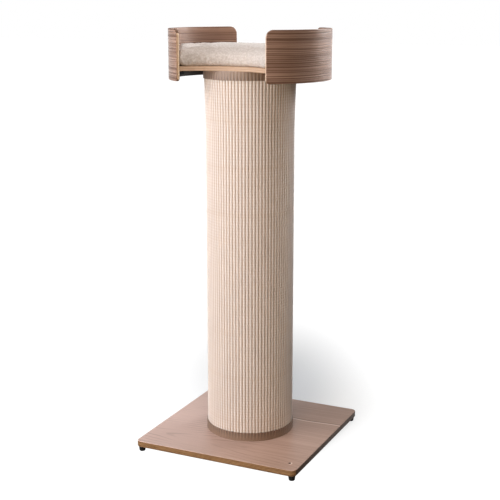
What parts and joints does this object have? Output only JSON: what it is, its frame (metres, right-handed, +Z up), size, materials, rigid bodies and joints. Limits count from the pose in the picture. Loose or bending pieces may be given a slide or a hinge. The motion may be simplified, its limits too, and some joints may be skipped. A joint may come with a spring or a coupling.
{
  "type": "cat scratching tower",
  "caption": "Tall ribbed sisal scratching column on a square plywood base, with a raised bed board between two curved plywood walls and a lift-out boucle cushion.",
  "frame": {"origin": "on the floor, under the middle of the square base", "axes": "+Z up the column, -Y the open front of the bed, +X to the right of the front"},
  "size_m": [0.5, 0.5, 1.207],
  "materials": {
    "veneer_wood": "matte taupe-stained veneer with horizontal grain",
    "birch_ply": "pale plywood with lamination lines on its edges",
    "sisal": "woven sisal matting in upright ribs",
    "binding_tape": "taupe woven tape",
    "boucle": "off-white looped boucle",
    "foam": "open-cell foam",
    "card": "spiral-wound grey-brown card",
    "foot_rubber": "black, matte",
    "zinc_steel": "zinc plated, satin"
  },
  "bodies": {
    "tower": {"base_plate": "veneer_wood", "foot_front_left": "foot_rubber", "foot_front_right": "foot_rubber", "foot_rear_left": "foot_rubber", "foot_rear_right": "foot_rubber", "foot_screws": "zinc_steel", "base_bolts": "zinc_steel", "bottom_disc": "birch_ply", "base_inserts": "zinc_steel", "column_tube": "card", "top_disc": "birch_ply", "platform_inserts": "zinc_steel", "sisal_sleeve": "sisal", "bottom_binding": "binding_tape", "top_binding": "binding_tape", "platform_board": "birch_ply", "platform_bolts": "zinc_steel", "right_wall": "veneer_wood", "left_wall": "veneer_wood", "wall_brackets": "zinc_steel", "bracket_screws": "zinc_steel"},
    "cushion": {"cushion_cover": "boucle", "cushion_foam": "foam"}
  },
  "joints": [
    {"name": "cushion_lift", "type": "slide", "parent": "tower", "child": "cushion", "axis": [0, 0, 1], "range_m": [0, 0.2]}
  ]
}
